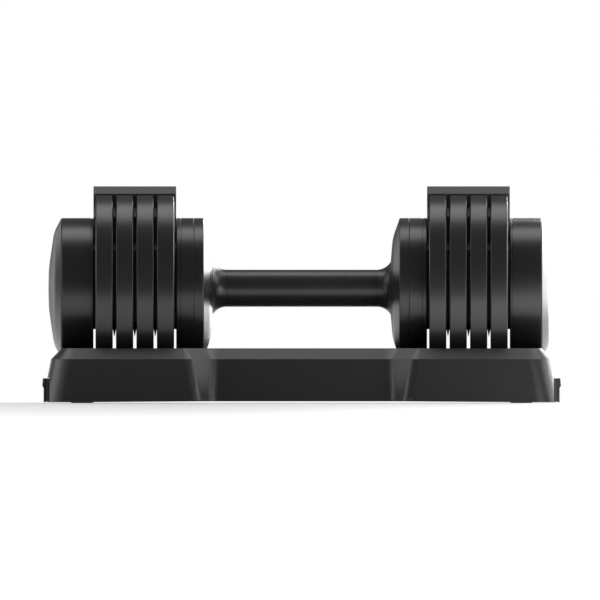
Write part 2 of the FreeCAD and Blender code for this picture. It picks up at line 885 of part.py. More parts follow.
def lock_wheel(name, heading):
    """The wheel on the handle's end: a ring groove with radial lock slots, and a race with dimples."""
    body = new_body(name)
    floor = WHEEL_END - S.wheel_groove_depth
    bore = CORE_RADIUS + S.slide_gap
    turn(
        body,
        outline(
            [
                (WHEEL_START, bore),
                (WHEEL_END, bore),
                (WHEEL_END, S.groove_inner),
                (floor, S.groove_inner),
                (floor, S.groove_outer),
                (WHEEL_END, S.groove_outer),
                (WHEEL_END, S.wheel_radius),
                (WHEEL_START, S.wheel_radius),
            ]
        ),
    )
    half = S.slot_width / 2
    slot = block(-half, -S.wheel_radius - BEYOND, half, BEYOND - S.groove_outer)
    slots = cut(body, "YZ_Plane", floor, S.wheel_groove_depth, slot)
    dimple_radius = S.ball_radius + S.slide_gap
    aside = S.ball_radius - S.ball_bite
    edge = root(dimple_radius * dimple_radius - aside * aside)
    race = S.ball_bite + S.slide_gap
    groove(body, block(WHEEL_END - race, S.ball_orbit - edge, WHEEL_END + BEYOND, S.ball_orbit + edge))
    depth = race + S.slide_gap
    dimple = cut(body, "YZ_Plane", WHEEL_END - depth, depth, circle(S.ball_orbit, 0, edge))
    repeat_around(body, [slots, dimple], WHEEL_STEPS)
    lift_to_axis(body, heading)


def lock_bar(name, heading):
    """The sliding bar: a tooth for the wheel, a lug under the spring, a foot through the cover."""
    body = new_body(name)
    half = S.bar_width / 2
    foot = AXIS_HEIGHT - DECK_HEIGHT - S.slide_gap
    grow(body, "YZ_Plane", BAR_START, S.bar_thickness, block(-half, -foot, half, -S.bar_top))
    tooth = block(-half, -S.bar_top - S.tooth_height, half, -S.bar_top)
    reach = S.wheel_groove_depth
    grow(body, "YZ_Plane", BAR_START - reach, reach, tooth)
    lug_top = -S.lug_drop
    lug = block(half, lug_top - S.lug_height, half + S.lug_length, lug_top)
    grow(body, "YZ_Plane", BAR_START, S.spring_radius * 2 + S.wire_radius * 3, lug)
    lift_to_axis(body, heading)


def coil(name, spot, length, radius, heading, tip):
    """A compression spring of round wire that stands on spot; tip leans it over from upright."""
    wire = SIZES["wire_radius"]
    rise = length - wire * 2
    spine = Part.makeHelix(rise / COIL_TURNS, rise, radius)
    section = Part.Wire([Part.makeCircle(wire, ALONG * radius, ACROSS)])
    item = DOC.addObject("Part::Feature", name)
    item.Label = name
    item.Shape = Part.Wire(spine.Edges).makePipeShell([section], True, True)
    stand = FreeCAD.Placement(spot, FreeCAD.Rotation(ACROSS, tip))
    raised = FreeCAD.Placement(UPWARD * wire, FreeCAD.Rotation())
    item.Placement = axis_placement(heading) * stand * raised


def axis_placement(heading):
    """The place of something drawn about the handle axis, at one end of the dumbbell."""
    return FreeCAD.Placement(UPWARD * AXIS_HEIGHT.value, FreeCAD.Rotation(UPWARD, heading))


def lock_spring(name, heading):
    """The spring that pushes the lock bar down, between the hub's shelf and the bar's lug."""
    wire = S.wire_radius
    across = BAR_START + S.spring_radius + wire * 2
    beside = S.bar_width / 2 + S.slide_gap + S.spring_radius + wire * 2
    spot = FreeCAD.Vector(across.value, beside.value, (S.fit_gap - S.lug_drop).value)
    length = S.spring_gap - S.fit_gap * 2
    coil(name, spot, length.value, S.spring_radius.value, heading, 0.0)


def detent_spring(name, heading):
    """The spring behind the detent ball."""
    start = WHEEL_END + S.ball_radius * 2 - S.ball_bite + S.fit_gap
    length = HUB_PLATE_START - start
    spot = FreeCAD.Vector(start.value, S.ball_orbit.value, 0)
    radius = S.ball_radius - S.wire_radius * 2
    coil(name, spot, length.value, radius.value, heading, 90.0)


def detent_ball(name, heading):
    """The steel ball that drops into the wheel's dimples."""
    ball = DOC.addObject("Part::Sphere", name)
    ball.Label = name
    ball.setExpression("Radius", S.ball_radius.text)
    across = WHEEL_END + S.ball_radius - S.ball_bite
    spot = FreeCAD.Vector(across.value, S.ball_orbit.value, 0)
    ball.Placement = axis_placement(heading) * FreeCAD.Placement(spot, FreeCAD.Rotation())


# ---------------------------------------------------------------- tray


class Plan:
    """The dog-bone plan of the tray: full depth at both ends, narrower at the waist."""

    def __init__(self, length, depth, waist_depth, shoulder, waist, corner, shoulder_round, waist_round):
        self.length = length
        self.depth = depth
        self.waist_depth = waist_depth
        self.shoulder = shoulder
        self.waist = waist
        self.corner = corner
        self.shoulder_round = shoulder_round
        self.waist_round = waist_round
        self.run = shoulder - waist
        self.step = depth - waist_depth
        self.slant = root(self.run * self.run + self.step * self.step)
        self.half_tangent = self.step / (self.slant + self.run)

    def inset(self, distance):
        """The plan moved inward by one distance all round."""
        aside = self.half_tangent * distance
        return Plan(
            self.length - distance,
            self.depth - distance,
            self.waist_depth - distance,
            self.shoulder + aside,
            self.waist + aside,
            self.corner - distance,
            self.shoulder_round - distance,
            self.waist_round + distance,
        )

    def loop(self):
        """The drawing of the plan: straight sides with an arc at each corner and bend."""
        out = self.half_tangent * self.shoulder_round
        back = self.half_tangent * self.waist_round
        along, down = self.run / self.slant, self.step / self.slant
        quarter = [
            (self.length, self.depth - self.corner),
            (self.length - self.corner, self.depth),
            (self.shoulder + out, self.depth),
            (self.shoulder - along * out, self.depth - down * out),
            (self.waist + along * back, self.waist_depth + down * back),
            (self.waist - back, self.waist_depth),
        ]
        half = quarter + [(-size(across), up) for across, up in reversed(quarter)]
        whole = half + [(across, -size(up)) for across, up in reversed(half)]
        arcs = {number: self.corner for number in (0, 10, 12, 22)}
        arcs.update({number: self.shoulder_round for number in (2, 8, 14, 20)})
        arcs.update({number: -self.waist_round for number in (4, 6, 16, 18)})
        return outline(whole, arcs=arcs)


FOOT_PLAN = Plan(
    TRAY_LENGTH,
    TRAY_DEPTH,
    TRAY_DEPTH - S.waist_step,
    FLARE_END + S.shoulder_foot_out,
    FLARE_END + S.waist_foot_out,
    S.corner_round,
    S.foot_round,
    S.foot_round,
)
EDGE_PLAN = Plan(
    TRAY_LENGTH - S.tray_draft,
    TRAY_DEPTH - S.tray_draft,
    TRAY_DEPTH - S.waist_step - S.tray_draft,
    FLARE_END + S.shoulder_rim_out,
    FLARE_END - S.waist_rim_in,
    S.corner_round,
    S.shoulder_round,
    S.shoulder_round,
)
RIM_PLAN = EDGE_PLAN.inset(S.tray_chamfer)
OPENING_PLAN = RIM_PLAN.inset(S.rim_land)
OPENING_PLAN.shoulder_round = OPENING_PLAN.waist_round = S.opening_round
HOLLOW_PLAN = EDGE_PLAN.inset(S.tray_wall)
HOLLOW_PLAN.length = CLIP_PLANE - S.tray_wall


def tray_shell(name):
    """The moulded outer shell: drafted walls, a wide chamfer round the rim and open saddles."""
    body = new_body(name)
    loft = body.newObject("PartDesign::AdditiveLoft", name + "_walls")
    edge_height = TRAY_HEIGHT - S.tray_chamfer
    loft.Profile = drawn(body, "XY_Plane", S.tray_lift, [FOOT_PLAN.loop()])
    loft.Sections = [
        drawn(body, "XY_Plane", edge_height, [EDGE_PLAN.loop()]),
        drawn(body, "XY_Plane", TRAY_HEIGHT, [RIM_PLAN.loop()]),
    ]
    loft.Ruled = True
    DOC.recompute()
    cut(body, "XY_Plane", 0, DECK_HEIGHT, HOLLOW_PLAN.loop())
    cut(body, "XY_Plane", DECK_HEIGHT, TRAY_HEIGHT - DECK_HEIGHT, OPENING_PLAN.loop())
    saddle = circle(0, AXIS_HEIGHT, S.drum_radius + S.keel_gap)
    cut(body, "YZ_Plane", 0, TRAY_LENGTH * 2, saddle, both=True)
    deep = (TRAY_DEPTH + BEYOND) * 2
    end = TRAY_LENGTH + BEYOND
    top = S.clip_height + S.slide_gap
    for side in (1, -1):
        rebate = block(CLIP_PLANE * side, -BEYOND, end * side, top)
        cut(body, "XZ_Plane", 0, deep, rebate, both=True)
    chord = TRAY_LENGTH - S.arch_inset
    sweep = (chord * chord + S.arch_rise * S.arch_rise) / (S.arch_rise * 2)
    arch = circle(0, S.tray_lift + S.arch_rise - sweep, sweep)
    cut(body, "XZ_Plane", 0, deep, arch, both=True)


def cradle(name, heading):
    """One end's insert: a slot for each plate, saddles for the round housings, hollow flanks."""
    body = new_body(name)
    gap = S.slide_gap
    plan = HOLLOW_PLAN
    length, depth, corner = plan.length, plan.depth, plan.corner
    start = CENTRE_HALF + gap
    wide = start + plan.run
    loop = [
        (start, gap - plan.waist_depth),
        (wide, -(depth - gap)),
        (length - gap - corner, -(depth - gap)),
        (length - gap, -(depth - gap - corner)),
        (length - gap, depth - gap - corner),
        (length - gap - corner, depth - gap),
        (wide, depth - gap),
        (start, plan.waist_depth - gap),
    ]
    grow(body, "XY_Plane", PAN_TOP, DECK_HEIGHT - PAN_TOP, outline(loop, arcs={2: corner, 4: corner}))
    for saddle in (HOUSING_END - S.saddle_width * 2, DRUM_START + S.saddle_width * 2):
        ear = block(-S.saddle_half, DECK_HEIGHT - BEYOND, S.saddle_half, DECK_HEIGHT + S.saddle_rise)
        grow(body, "YZ_Plane", saddle, S.saddle_width, ear)
        cut(body, "YZ_Plane", saddle, S.saddle_width, circle(0, AXIS_HEIGHT, S.drum_radius + gap))
    well = circle(0, AXIS_HEIGHT, S.plate_radius + gap)
    for number in range(int(SIZES["plate_count"])):
        slot = PLATE_START + PLATE_PITCH * number - gap
        cut(body, "YZ_Plane", slot, S.plate_thickness + gap * 2, well)
    flank_end = length - corner
    flanks = [
        block(wide, S.side_pocket, flank_end, depth - S.tray_wall),
        block(wide, S.tray_wall - depth, flank_end, -S.side_pocket),
    ]
    cut(body, "XY_Plane", PAN_TOP, DECK_HEIGHT - PAN_TOP - S.tray_wall, *flanks)
    holes = [circle(across, up, S.screw_radius) for across, up in PAN_SPOTS]
    cut(body, "XY_Plane", PAN_TOP, DRILL_END - PAN_TOP, *holes)
    body.Placement = FreeCAD.Placement(ORIGIN, FreeCAD.Rotation(UPWARD, heading))


def centre_deck(name):
    """The deck under the hand, hollow below, with two screw bosses and a shallow dish on top."""
    body = new_body(name)
    half = CENTRE_HALF
    waist_depth = HOLLOW_PLAN.waist_depth - S.slide_gap
    height = DECK_HEIGHT - PAN_TOP
    grow(body, "XY_Plane", PAN_TOP, height, block(-half, -waist_depth, half, waist_depth))
    inside, across = half - S.tray_wall, waist_depth - S.tray_wall
    floor = S.tray_wall + S.dish_depth
    cut(body, "XY_Plane", PAN_TOP, height - floor, block(-inside, -across, inside, across))
    for side in (1, -1):
        boss = circle(CENTRE_HALF / 2 * side, 0, S.boss_radius)
        grow(body, "XY_Plane", PAN_TOP, height - floor, boss)
        hole = circle(CENTRE_HALF / 2 * side, 0, S.screw_radius)
        cut(body, "XY_Plane", PAN_TOP, DRILL_END - PAN_TOP, hole)
    dish_long, dish_deep = half - S.dish_margin, waist_depth - S.dish_margin
    edge = outline(
        [
            (dish_long, S.dish_margin - dish_deep),
            (dish_long, dish_deep - S.dish_margin),
            (dish_long - S.dish_margin, dish_deep),
            (S.dish_margin - dish_long, dish_deep),
            (-dish_long, dish_deep - S.dish_margin),
            (-dish_long, S.dish_margin - dish_deep),
            (S.dish_margin - dish_long, -dish_deep),
            (dish_long - S.dish_margin, -dish_deep),
        ],
        arcs={1: S.dish_margin, 3: S.dish_margin, 5: S.dish_margin, 7: S.dish_margin},
    )
    cut(body, "XY_Plane", DECK_HEIGHT - S.dish_depth, S.dish_depth, edge)


def screw_places():
    """Where the tray's screws stand: four under each cradle and two under the centre deck."""
    ends = [(across.value * side, up.value) for side in (1, -1) for across, up in PAN_SPOTS]
    return ends + [(CENTRE_HALF.value / 2 * side, 0.0) for side in (1, -1)]


def foot_places():
    """Where the rubber feet sit: near each corner."""
    length = CLIP_PLANE.value - SIZES["foot_inset_long"]
    depth = HOLLOW_PLAN.depth.value - SIZES["foot_inset_deep"]
    return [(length * side, depth * front) for side in (1, -1) for front in (1, -1)]


def floor_pan(name):
    """The flat plate that closes the tray from below."""
    body = new_body(name)
    grow(body, "XY_Plane", S.pan_bottom, S.pan_thickness, HOLLOW_PLAN.inset(S.slide_gap).loop())
    holes = [circle(across, up, S.screw_radius) for across, up in screw_places()]
    cut(body, "XY_Plane", S.pan_bottom, S.pan_thickness, *holes)
    heads = [circle(across, up, S.screw_head_radius) for across, up in screw_places()]
    cut(body, "XY_Plane", S.pan_bottom, S.screw_head_height, *heads)
    stems = [circle(across, up, S.foot_stem) for across, up in foot_places()]
    cut(body, "XY_Plane", S.pan_bottom, S.pan_thickness, *stems)


def end_clip(name, heading):
    """The barbed rail along a tray end: two legs joined at the top, the outer one with a barb."""
    body = new_body(name)
    plane, leg, foot, top = CLIP_PLANE, S.clip_leg, S.tray_lift, S.clip_height
    out = plane + S.clip_depth
    profile = outline(
        [
            (plane, foot),
            (plane + leg, foot),
            (plane + leg, top - leg),
            (out - leg, top - leg),
            (out - leg, foot),
            (out, foot),
            (out, S.clip_barb_foot),
            (out + S.clip_barb, S.clip_barb_foot + leg),
            (out + S.clip_barb / 2, top),
            (plane, top),
        ]
    )
    grow(body, "XZ_Plane", 0, S.clip_half_width * 2, profile, both=True)
    body.Placement = FreeCAD.Placement(ORIGIN, FreeCAD.Rotation(UPWARD, heading))


# ---------------------------------------------------------------- fasteners and feet


def screw_shape(length):
    """One pan-head screw, its head below the origin and its shank upward, with a cross recess."""
    head = SIZES["screw_head_height"]
    long, wide = SIZES["recess_length"], SIZES["recess_width"]
    shape = Part.makeCylinder(SIZES["screw_head_radius"] - SIZES["fit_gap"], head)
    shape = shape.fuse(Part.makeCylinder(SIZES["screw_radius"], head + length))
    for turned in (0, 90):
        arm = Part.makeBox(long, wide, head / 2, FreeCAD.Vector(-long / 2, -wide / 2, 0))
        arm.rotate(ORIGIN, UPWARD, turned)
        shape = shape.cut(arm)
    return shape.removeSplitter()


def group(name, shapes):
    """Several equal pieces as one sub-part."""
    item = DOC.addObject("Part::Feature", name)
    item.Label = name
    item.Shape = Part.makeCompound(shapes)
    item.Placement = FreeCAD.Placement()


def placed(shape, spot, direction):
    """A copy of a shape with its origin at spot and its upward way along direction."""
    copy = shape.copy()
    copy.Placement = FreeCAD.Placement(spot, FreeCAD.Rotation(UPWARD, direction))
    return copy


def bridge_screws(name):
    """The screws that hold the bridges' end walls to the housings and drums."""
    shape = screw_shape(SIZES["screw_length"])
    height = AXIS_HEIGHT.value
    inner = HOUSING_END.value + SIZES["wall_thickness"]
    outer = STACK_END.value
    screws = []
    for side in (1, -1):
        for across, up in SCREW_SPOTS:
            near = FreeCAD.Vector(inner * side, across.value, height + up.value)
            far = FreeCAD.Vector(outer * side, across.value, height + up.value)
            screws.append(placed(shape, near, ALONG * -side))
            screws.append(placed(shape, far, ALONG * side))
    group(name, screws)


def ballast_screws(name):
    """The screws that hold the ballast discs to the drum walls."""
    top = BALLAST_START + S.ballast_thickness + S.screw_head_height
    end = DRUM_START + S.shell_wall / 2
    shape = screw_shape((top - end).value - SIZES["screw_head_height"])
    screws = []
    for side in (1, -1):
        for across, up in ballast_spots():
            spot = FreeCAD.Vector(top.value * side, across.value, AXIS_HEIGHT.value + up.value)
            screws.append(placed(shape, spot, ALONG * -side))
    group(name, screws)


def tray_screws(name):
    """The screws that hold the floor pan to the cradles and the centre deck."""
    shape = screw_shape(SIZES["screw_length"])
    spots = [FreeCAD.Vector(across, up, SIZES["pan_bottom"]) for across, up in screw_places()]
    group(name, [placed(shape, spot, UPWARD) for spot in spots])


def tray_feet(name):
    """The rubber feet, each with a stem through the floor pan."""
    foot = Part.makeCylinder(SIZES["foot_radius"], SIZES["pan_bottom"])
    foot = foot.fuse(Part.makeCylinder(SIZES["foot_stem"], PAN_TOP.value)).removeSplitter()
    group(name, [placed(foot, FreeCAD.Vector(across, up, 0), UPWARD) for across, up in foot_places()])


# ---------------------------------------------------------------- the whole object

SIDED = [
    ("bridge", carrier_bridge),
    ("inner_cover", inner_cover),
    ("inner_housing", inner_housing),
    ("hub", hub),
    ("outer_drum", outer_drum),
    ("end_cap", end_cap),
    ("ballast_disc", ballast),
    ("handle_flare", handle_flare),
    ("cam_sleeve", cam_sleeve),
    ("lock_wheel", lock_wheel),
    ("selector_rod", selector_rod),
    ("follower_pin", follower_pin),
    ("lock_bar", lock_bar),
    ("lock_spring", lock_spring),
    ("detent_ball", detent_ball),
    ("detent_spring", detent_spring),
    ("plate_cradle", cradle),
    ("end_clip", end_clip),
]
SINGLE = [
    ("core_tube", core_tube),
    ("grip_sleeve", grip_sleeve),
    ("tray_shell", tray_shell),
    ("centre_deck", centre_deck),
    ("floor_pan", floor_pan),
    ("bridge_screws", bridge_screws),
    ("ballast_screws", ballast_screws),
    ("tray_screws", tray_screws),
    ("tray_feet", tray_feet),
]


def build():
    """Make every sub-part and return the names in order."""
    write_sheet()
    names = []
    for side, heading in SIDES.items():
        for kind, make in SIDED:
            make(f"{side}_{kind}", heading)
            names.append(f"{side}_{kind}")
        for number in range(int(SIZES["plate_count"])):
            weight_plate(f"{side}_plate_{number + 1}", heading, number)
            names.append(f"{side}_plate_{number + 1}")
        for number in range(int(SIZES["plate_count"]) - 1):
            divider(f"{side}_divider_{number + 1}", heading, number)
            names.append(f"{side}_divider_{number + 1}")
    for name, make in SINGLE:
        make(name)
        names.append(name)
    return names


def check_and_write(names):
    """Stop on any failed feature or bad shape, then write one file for each sub-part."""
    DOC.recompute()
    failed = [item.Name for item in DOC.Objects if "Invalid" in item.State or "Error" in item.State]
    if failed:
        raise RuntimeError(f"failed features: {failed}")
    parts = {item.Label: item for item in DOC.Objects if item.Label in names}
    for name in names:
        shape = parts[name].Shape
        if shape.isNull() or not shape.isValid() or not shape.Solids:
            raise RuntimeError(f"{name} has no valid solid")
    os.makedirs("parts", exist_ok=True)
    for name in names:
        parts[name].Shape.exportStep(os.path.join("parts", name + ".step"))
    print(f"{len(names)} sub-parts written")


check_and_write(build())
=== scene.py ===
import json
import math
import bmesh
import bpy
from mathutils import Matrix, Vector


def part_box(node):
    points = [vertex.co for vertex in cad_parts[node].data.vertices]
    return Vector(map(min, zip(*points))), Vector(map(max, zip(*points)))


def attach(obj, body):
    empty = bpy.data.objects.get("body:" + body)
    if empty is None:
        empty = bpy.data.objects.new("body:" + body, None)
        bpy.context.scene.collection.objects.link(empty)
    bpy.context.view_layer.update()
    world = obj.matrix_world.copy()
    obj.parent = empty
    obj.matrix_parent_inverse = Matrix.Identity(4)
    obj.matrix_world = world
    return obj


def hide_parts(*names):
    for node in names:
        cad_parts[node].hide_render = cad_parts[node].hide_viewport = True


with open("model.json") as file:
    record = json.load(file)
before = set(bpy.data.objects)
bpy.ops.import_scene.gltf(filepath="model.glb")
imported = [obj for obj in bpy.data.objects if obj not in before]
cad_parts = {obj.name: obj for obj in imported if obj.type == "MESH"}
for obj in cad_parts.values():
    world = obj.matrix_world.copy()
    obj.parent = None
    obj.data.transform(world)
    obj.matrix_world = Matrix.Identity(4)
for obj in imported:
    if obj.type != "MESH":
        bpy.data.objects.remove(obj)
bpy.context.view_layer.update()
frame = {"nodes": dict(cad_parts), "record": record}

# Adjustable dumbbell in its tray. Lengths are metres; +X runs along the handle, +Z is up, and the
# viewer is at -Y. Round pieces are spun about the handle's axis for the right-hand end and turned
# half round for the left.

SIDES = ("left", "right")
PLATES = (1, 2, 3, 4)
DIVIDERS = (1, 2, 3)
MM = 0.001
AXIS_HEIGHT = next(mount["pos_m"][2] for mount in frame["record"]["mounts"] if mount["name"] == "grip")

# how meshes are made: corners closer than WELD are one, faces within FLAT of each other are joined,
# and edges sharper than CREASE are rounded over and shaded sharp
WELD = 1e-6
FLAT = math.radians(0.6)
CREASE = math.radians(28)
ROUND_STEPS = 160
EASE_STEPS = 3

# how far edges are rounded over
FINE_EASE = 0.2 * MM
PLATE_EASE = 0.25 * MM
INSERT_EASE = 0.3 * MM
DECK_EASE = 0.4 * MM
HOUSING_EASE = 0.5 * MM
TRAY_EASE = 0.8 * MM


# ---------------------------------------------------------------- reading the frame


def reach(node):
    """Where a node starts and ends, outward from the handle's middle, and its radius, in millimetres."""
    low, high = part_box(node)
    near, far = sorted((abs(low.x), abs(high.x)))
    return round(near / MM, 2), round(far / MM, 2), round((high.z - AXIS_HEIGHT) / MM, 2)


# the round pieces' ends and radii, and what their outlines share, in millimetres
COVER_START = reach("right_inner_cover")[0]
HOUSING_START, HOUSING_END, HOUSING_RADIUS = reach("right_inner_housing")
DRUM_START, DRUM_END = reach("right_outer_drum")[:2]
CAP_CROWN = reach("right_end_cap")[1]
FLARE_START, FLARE_END, FLARE_RADIUS = reach("right_handle_flare")
GRIP_RADIUS = reach("grip_sleeve")[2]
GRIP_BORE = 12.0
ROD_BORE = 8.0
SHELL_WALL = 3.0
RIM = 0.5
SEAM = 0.25


# ---------------------------------------------------------------- finishes


class Value:
    """A socket that carries a number; arithmetic on it adds Math nodes to its finish."""

    def __init__(self, finish, socket):
        self.finish = finish
        self.socket = socket

    def __add__(self, other):
        return self.finish.math("ADD", self, other)

    def __radd__(self, other):
        return self.finish.math("ADD", other, self)

    def __mul__(self, other):
        return self.finish.math("MULTIPLY", self, other)

    def __rmul__(self, other):
        return self.finish.math("MULTIPLY", other, self)


class Finish:
    """One material: a shader with its fixed values, and the nodes that vary it over the surface."""

    def __init__(self, name, roughness, **fixed):
        self.material = bpy.data.materials.new(name)
        self.material.use_nodes = True
        self.tree = self.material.node_tree
        self.tree.nodes.clear()
        self.shader = self.tree.nodes.new("ShaderNodeBsdfPrincipled")
        output = self.tree.nodes.new("ShaderNodeOutputMaterial")
        self.tree.links.new(self.shader.outputs["BSDF"], output.inputs["Surface"])
        self.shader.inputs["Roughness"].default_value = roughness
        for socket, value in fixed.items():
            self.shader.inputs[socket.replace("_", " ")].default_value = value
        self.place = self.node("ShaderNodeTexCoord").outputs["Object"]

    def node(self, kind, settings=None, **sockets):
        """A node with its settings made first and then its sockets given a value or a link."""
        made = self.tree.nodes.new(kind)
        for name, value in (settings or {}).items():
            setattr(made, name, value)
        for name, value in sockets.items():
            self.feed(made.inputs[name.replace("_", " ")], value)
        return made

    def feed(self, socket, value):
        """Give a socket a plain value, or link it to another socket."""
        if isinstance(value, Value):
            self.tree.links.new(value.socket, socket)
        elif isinstance(value, bpy.types.NodeSocket):
            self.tree.links.new(value, socket)
        else:
            socket.default_value = value

    def math(self, operation, first, second):
        """One Math node on two numbers."""
        made = self.tree.nodes.new("ShaderNodeMath")
        made.operation = operation
        self.feed(made.inputs[0], first)
        self.feed(made.inputs[1], second)
        return Value(self, made.outputs[0])

    def noise(self, scale, detail=2.0, stretch=(1.0, 1.0, 1.0)):
        """Noise from 0 to 1, with its grain stretched along each axis."""
        mapping = self.node("ShaderNodeMapping", Vector=self.place, Scale=stretch)
        grain = self.node("ShaderNodeTexNoise", Vector=mapping.outputs[0], Scale=scale, Detail=detail)
        return Value(self, grain.outputs["Fac"])

    def cells(self, scale):
        """Distance to the nearest of many scattered points, as a pebbled relief."""
        pebbles = self.node("ShaderNodeTexVoronoi", Vector=self.place, Scale=scale)
        return Value(self, pebbles.outputs["Distance"])

    def colour(self, amount, low, high):
        """Blend the base colour from low to high."""
        mixed = self.node("ShaderNodeMix", {"data_type": "RGBA"})
        self.feed(mixed.inputs["Factor"], amount)
        mixed.inputs[6].default_value = (*low, 1.0)
        mixed.inputs[7].default_value = (*high, 1.0)
        self.feed(self.shader.inputs["Base Color"], mixed.outputs[2])

    def roughness(self, value):
        """Vary the gloss over the surface."""
        self.feed(self.shader.inputs["Roughness"], value)

    def relief(self, height, strength, distance):
        """Bump from a height."""
        bump = self.node("ShaderNodeBump", Strength=strength, Distance=distance)
        self.feed(bump.inputs["Height"], height)
        self.feed(self.shader.inputs["Normal"], bump.outputs[0])


def grey(level):
    """A neutral colour."""
    return (level, level, level * 1.03)


def moulded(name, dark, light, gloss, grain, depth):
    """Black moulded plastic: a fine pebbled grain, faint flow marks and slightly uneven gloss."""
    finish = Finish(name, gloss, IOR=1.6)
    flow = finish.noise(14.0, stretch=(0.4, 1.0, 1.0))
    pebble = finish.cells(grain)
    finish.colour(flow, grey(dark), grey(light))
    finish.roughness(flow * 0.08 + (gloss - 0.04))
    finish.relief(pebble + finish.noise(grain * 0.6) * 0.5, 0.35, depth)
    return finish.material


def coated_plate():
    """Satin powder coat on steel: a soft orange peel under a finer speckle."""
    finish = Finish("plate_coat", 0.3, IOR=1.6)
    peel = finish.noise(420.0, detail=1.0)
    speckle = finish.noise(2400.0)
    finish.colour(speckle, grey(0.012), grey(0.016))
    finish.roughness(peel * 0.04 + 0.28)
    finish.relief(peel, 0.1, 0.00002)
    return finish.material


def turned_steel():
    """Turned steel: rings round the axis and an even satin."""
    finish = Finish("turned_steel", 0.3, Metallic=1.0)
    rings = finish.noise(90.0, detail=4.0, stretch=(40.0, 1.0, 1.0))
    finish.colour(rings, (0.42, 0.42, 0.43), (0.6, 0.6, 0.61))
    finish.roughness(rings * 0.2 + 0.2)
    finish.relief(rings, 0.2, 0.00003)
    return finish.material


def cast_ballast():
    """Plain dark casting: coarse sand texture."""
    finish = Finish("cast_ballast", 0.7, Metallic=0.6)
    sand = finish.noise(900.0, detail=6.0)
    finish.colour(sand, (0.05, 0.05, 0.05), (0.14, 0.135, 0.13))
    finish.relief(sand, 0.6, 0.0003)
    return finish.material


FINISHES = {
    "housing_black": moulded("housing_plastic", 0.010, 0.014, 0.30, 3600.0, 0.00005),
    "bridge_black": moulded("bridge_plastic", 0.016, 0.022, 0.36, 3200.0, 0.00005),
    "grip_black": moulded("grip_plastic", 0.013, 0.018, 0.34, 2600.0, 0.00007),
    "nylon": moulded("slide_nylon", 0.018, 0.026, 0.4, 2000.0, 0.00003),
    "tray_black": moulded("tray_plastic", 0.016, 0.021, 0.33, 2800.0, 0.00006),
    "tray_inner": moulded("insert_plastic", 0.015, 0.021, 0.5, 2200.0, 0.00009),
    "clip_black": moulded("clip_plastic", 0.03, 0.042, 0.3, 3000.0, 0.00004),
    "foot_rubber": moulded("feet_rubber", 0.02, 0.03, 0.75, 1600.0, 0.0001),
    "plate_paint": coated_plate(),
    "steel": turned_steel(),
    "ballast_iron": cast_ballast(),
}


# ---------------------------------------------------------------- making pieces


def finish_piece(name, bm, body, slot, *stands_for):
    """Turn a bmesh into a piece that rides on a body, wears its slot's finish and stands for CAD nodes."""
    mesh = bpy.data.meshes.new(name)
    bm.to_mesh(mesh)
    bm.free()
    mesh.materials.clear()
    mesh.materials.append(FINISHES[slot])
    mesh.shade_smooth()
    mesh.set_sharp_from_angle(angle=CREASE)
    piece = bpy.data.objects.new(name, mesh)
    bpy.context.scene.collection.objects.link(piece)
    weighted = piece.modifiers.new("even_shading", "WEIGHTED_NORMAL")
    weighted.keep_sharp = True
    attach(piece, body)
    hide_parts(*stands_for)
    return piece


def ease(bm, parts, offset, affect):
    """Round over edges or corners."""
    bmesh.ops.bevel(
        bm,
        geom=parts,
        offset=offset,
        offset_type="OFFSET",
        segments=EASE_STEPS,
        profile=0.5,
        affect=affect,
        clamp_overlap=True,
        material=-1,
    )


def face_outward(bm):
    """Join doubled corners and make every face of a closed bmesh point outward."""
    bmesh.ops.remove_doubles(bm, verts=bm.verts, dist=WELD)
    bmesh.ops.recalc_face_normals(bm, faces=bm.faces)
    return bm


def spun(outline, usual=HOUSING_EASE):
    """A closed outline spun about the axis. A corner is its outward place, its radius and how far it is
    eased, in millimetres; a corner with no third number is eased as usual."""
    bm = bmesh.new()
    corners = [bm.verts.new((corner[0] * MM, 0.0, corner[1] * MM)) for corner in outline]
    for here, there in zip(corners, corners[1:] + corners[:1]):
        if max(here.co.z, there.co.z) > WELD:
            bm.edges.new((here, there))
    eases = {}
    for corner, given in zip(corners, outline):
        offset = given[2] * MM if len(given) > 2 else usual
        if offset and corner.co.z > WELD:
            eases.setdefault(offset, []).append(corner)
    for offset in sorted(eases, reverse=True):
        ease(bm, eases[offset], offset, "VERTICES")
    bmesh.ops.spin(
        bm,
        geom=bm.verts[:] + bm.edges[:],
        cent=(0.0, 0.0, 0.0),
        axis=(1.0, 0.0, 0.0),
        angle=math.tau,
        steps=ROUND_STEPS,
        use_merge=True,
    )
    return face_outward(bm)


def at_end(bm, side):
    """Move a piece made about the origin's X axis to its end of the dumbbell."""
    if side == "left":
        bmesh.ops.rotate(bm, verts=bm.verts, cent=(0.0, 0.0, 0.0), matrix=Matrix.Rotation(math.pi, 3, "Z"))
    bmesh.ops.translate(bm, verts=bm.verts, vec=(0.0, 0.0, AXIS_HEIGHT))
    return bm


def block(low, high):
    """A plain block from corner to corner in millimetres, to cut with."""
    bm = bmesh.new()
    bmesh.ops.create_cube(bm, size=1.0)
    low, high = Vector(low) * MM, Vector(high) * MM
    bmesh.ops.scale(bm, verts=bm.verts, vec=high - low)
    bmesh.ops.translate(bm, verts=bm.verts, vec=(low + high) / 2)
    return bm


def loose_object(bm):
    """A bare object that holds a bmesh while it is worked on."""
    mesh = bpy.data.meshes.new("work")
    bm.to_mesh(mesh)
    bm.free()
    item = bpy.data.objects.new("work", mesh)
    bpy.context.scene.collection.objects.link(item)
    return item


